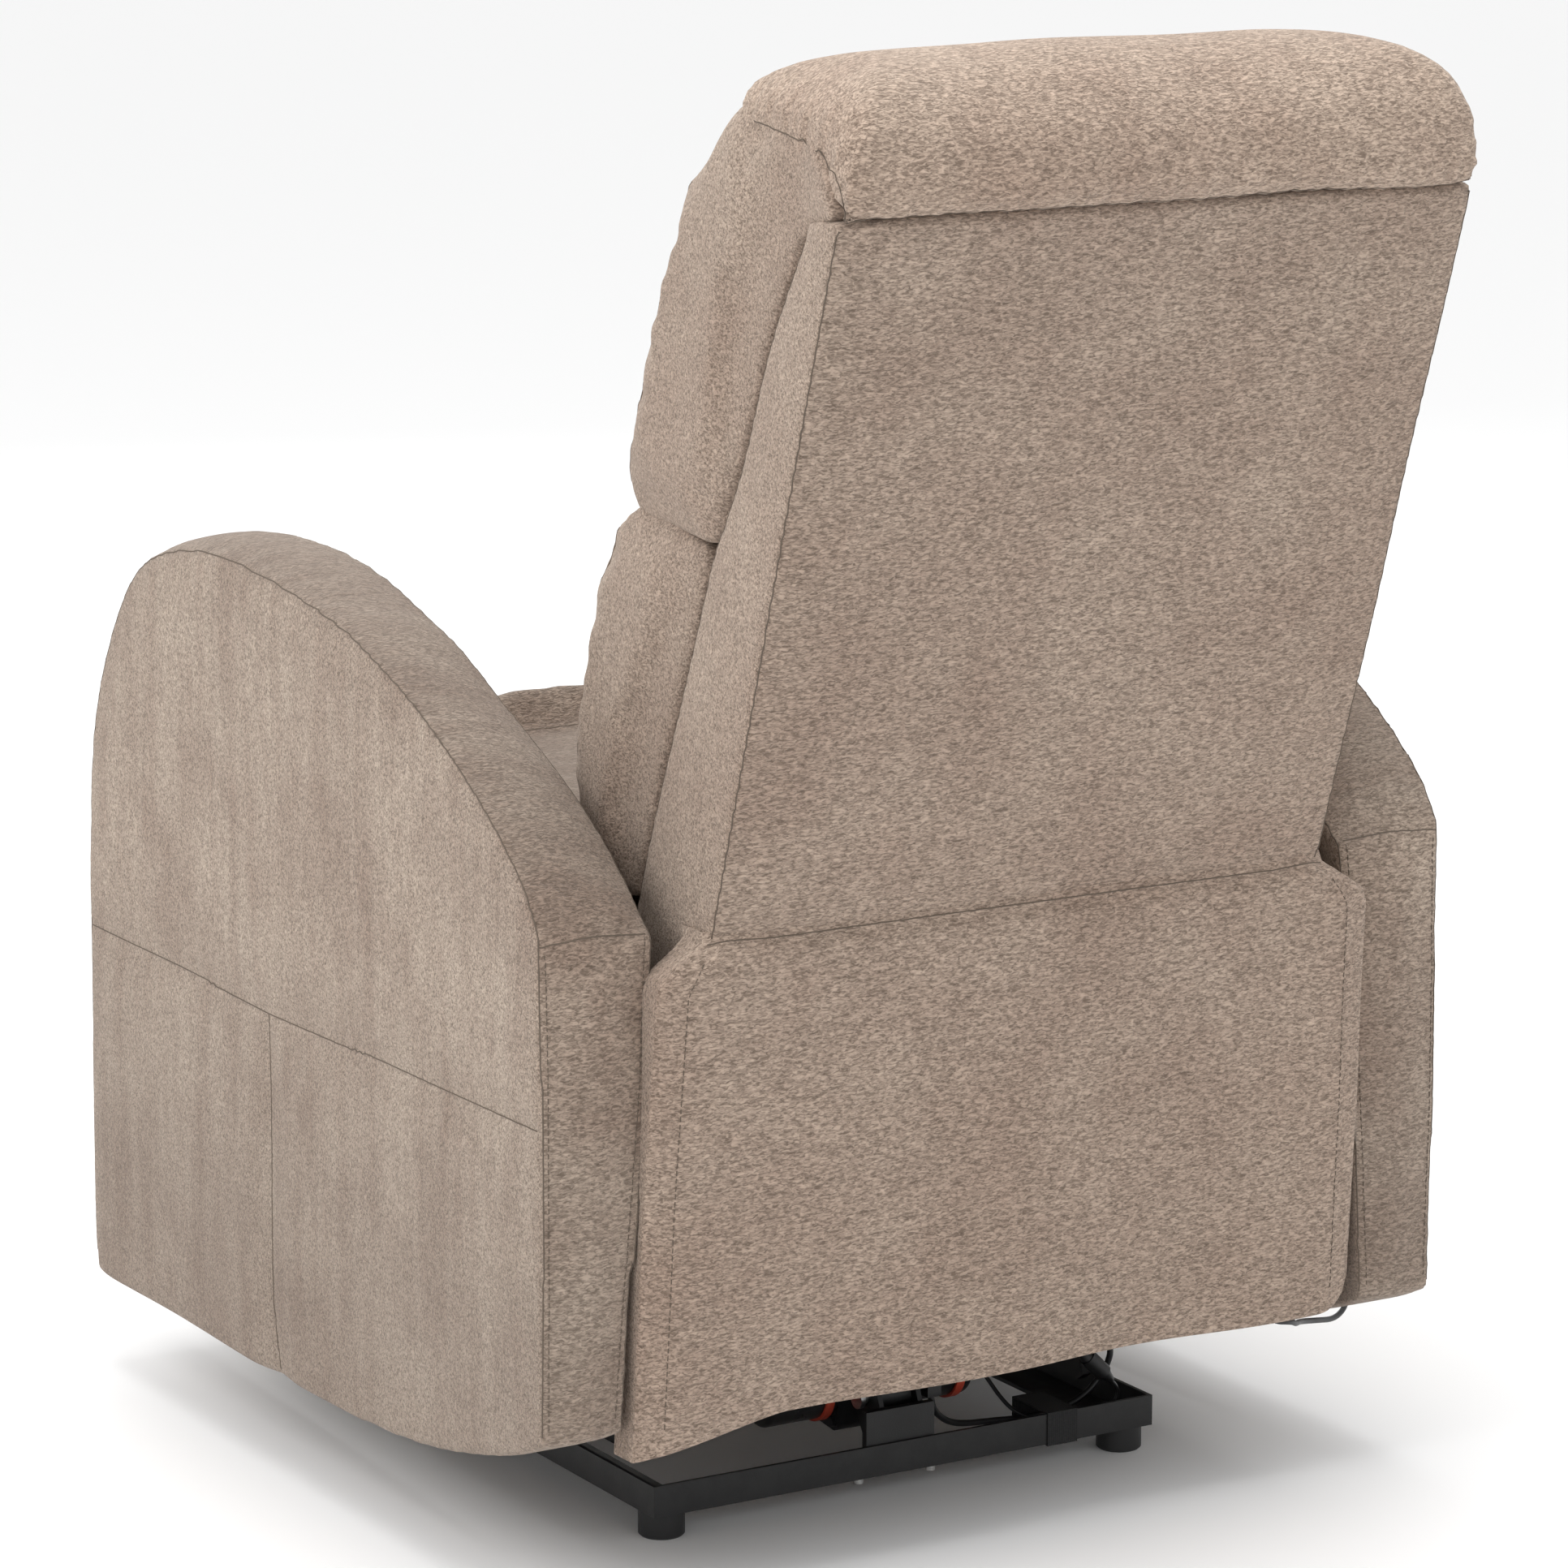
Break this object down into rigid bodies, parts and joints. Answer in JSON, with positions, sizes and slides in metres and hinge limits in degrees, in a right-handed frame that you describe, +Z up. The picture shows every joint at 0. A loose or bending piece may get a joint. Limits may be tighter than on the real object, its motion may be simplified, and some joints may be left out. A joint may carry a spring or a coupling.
{
  "type": "lift recliner chair",
  "caption": "Fabric lift recliner: padded arched arms, pillow back, skirt, folding footrest and a powered lift base with hand control.",
  "frame": {"origin": "on the floor under the middle of the chair", "axes": "+X to the sitter's left, +Y to the rear, +Z up"},
  "size_m": [0.791, 0.974, 1.107],
  "materials": {
    "black_steel": "satin",
    "zinc_steel": "satin",
    "black_plastic": "matte",
    "motor_can": "satin",
    "motor_plate": "satin",
    "red_rubber": "matte",
    "strap_fabric": "matte",
    "lead_rubber": "satin",
    "wood": "matte",
    "webbing": "matte",
    "button_plastic": "matte",
    "taupe_chenille": "matte"
  },
  "bodies": {
    "base": {"base_rails": "black_steel", "base_rear_crossbar": "black_steel", "base_front_crossbar": "black_steel", "base_feet": "black_plastic", "pivot_lugs": "black_steel", "base_pivot_pins": "zinc_steel", "actuator_clevis": "black_steel", "clevis_fasteners": "zinc_steel", "cable_strap": "strap_fabric", "motor_lead_upper": "lead_rubber", "motor_lead_lower": "lead_rubber", "supply_lead": "lead_rubber", "lead_connector": "black_plastic"},
    "lift_arm": {"lift_arms": "black_steel", "torque_tube": "black_steel", "rod_lugs": "black_steel", "lead_clip": "black_plastic"},
    "tilt_link": {"tilt_links": "black_steel"},
    "actuator": {"actuator_housing": "black_plastic", "actuator_motor": "motor_can", "motor_rings": "red_rubber", "motor_plate": "motor_plate", "actuator_tube": "black_plastic"},
    "rod": {"actuator_rod": "zinc_steel", "rod_eye": "zinc_steel"},
    "chair": {"cross_tubes": "black_steel", "lift_hangers": "black_steel", "mechanism_plates": "black_steel", "chair_pivot_pins": "zinc_steel", "seat_side_rails": "wood", "seat_cross_rails": "wood", "seat_springs": "zinc_steel", "seat_cushion": "taupe_chenille", "arm_brackets": "black_steel", "control_box": "black_plastic", "power_inlet": "black_plastic", "arm_panels": "wood", "left_arm_inner_pad": "taupe_chenille", "left_arm_outer_pad": "taupe_chenille", "right_arm_inner_pad": "taupe_chenille", "right_arm_outer_pad": "taupe_chenille", "rear_skirt": "taupe_chenille", "handset_pocket": "taupe_chenille", "handset_lead": "lead_rubber"},
    "back": {"back_frame": "wood", "back_webbing": "webbing", "back_brackets": "black_steel", "back_rear_panel": "taupe_chenille", "back_gussets": "taupe_chenille", "lumbar_pillow": "taupe_chenille", "head_pillow": "taupe_chenille", "top_band": "taupe_chenille"},
    "footrest_lower": {"footrest_lower_links": "black_steel"},
    "footrest_upper": {"footrest_upper_links": "black_steel"},
    "footrest": {"footrest_ears": "black_steel", "footrest_board": "wood", "footrest_pad": "taupe_chenille"},
    "handset": {"handset_body": "black_plastic"},
    "raise_button": {"raise_button": "button_plastic"},
    "lower_button": {"lower_button": "button_plastic"}
  },
  "joints": [
    {"name": "lift", "type": "hinge", "parent": "base", "child": "lift_arm", "pos_m": [0, -0.33, 0.06], "axis": [1, 0, 0], "range_deg": [0, 40], "deforming": ["motor_lead_upper", "motor_lead_lower", "supply_lead"]},
    {"name": "lift_link_pivot", "type": "hinge", "parent": "base", "child": "tilt_link", "pos_m": [0, -0.3759, 0.0541], "axis": [1, 0, 0], "range_deg": [0, 45]},
    {"name": "chair_tilt", "type": "hinge", "parent": "lift_arm", "child": "chair", "pos_m": [0, 0.07, 0.085], "axis": [1, 0, 0], "range_deg": [-20.5, 0]},
    {"name": "actuator_swing", "type": "hinge", "parent": "base", "child": "actuator", "pos_m": [0, 0.125, 0.072], "axis": [1, 0, 0], "range_deg": [-6, 0]},
    {"name": "rod_slide", "type": "slide", "parent": "actuator", "child": "rod", "axis": [0, -0.9944, 0.1061], "range_m": [0, 0.058]},
    {"name": "recline", "type": "hinge", "parent": "chair", "child": "back", "pos_m": [0, 0.23, 0.435], "axis": [-1, 0, 0], "range_deg": [0, 32]},
    {"name": "footrest_lower_pivot", "type": "hinge", "parent": "chair", "child": "footrest_lower", "pos_m": [0, -0.31, 0.3], "axis": [-1, 0, 0], "range_deg": [0, 60.5]},
    {"name": "footrest_knee", "type": "hinge", "parent": "footrest_lower", "child": "footrest_upper", "pos_m": [0, -0.4008, 0.1218], "axis": [-1, 0, 0], "range_deg": [-120.5, 0]},
    {"name": "footrest_board_pivot", "type": "hinge", "parent": "footrest_upper", "child": "footrest", "pos_m": [0, -0.41126, 0.32153], "axis": [-1, 0, 0], "range_deg": [0, 145.5]},
    {"name": "handset_slide", "type": "slide", "parent": "chair", "child": "handset", "axis": [0, 0, 1], "range_m": [0, 0.13], "deforming": ["handset_lead"]},
    {"name": "raise_button_press", "type": "slide", "parent": "handset", "child": "raise_button", "axis": [1, 0, 0], "range_m": [0, 0.0012], "stiffness_N_per_m": 400, "springref_m": -0.0005},
    {"name": "lower_button_press", "type": "slide", "parent": "handset", "child": "lower_button", "axis": [1, 0, 0], "range_m": [0, 0.0012], "stiffness_N_per_m": 400, "springref_m": -0.0005}
  ],
  "couplings": [
    {"joint": "lift_link_pivot", "follows": "lift", "ratio": 1.1221},
    {"joint": "chair_tilt", "follows": "lift", "ratio": -0.5},
    {"joint": "actuator_swing", "follows": "lift", "ratio": -0.126},
    {"joint": "rod_slide", "follows": "lift", "m_per_rad": 0.0805},
    {"joint": "footrest_lower_pivot", "follows": "recline", "ratio": 1.875},
    {"joint": "footrest_knee", "follows": "recline", "ratio": -3.75},
    {"joint": "footrest_board_pivot", "follows": "recline", "ratio": 4.5312}
  ]
}
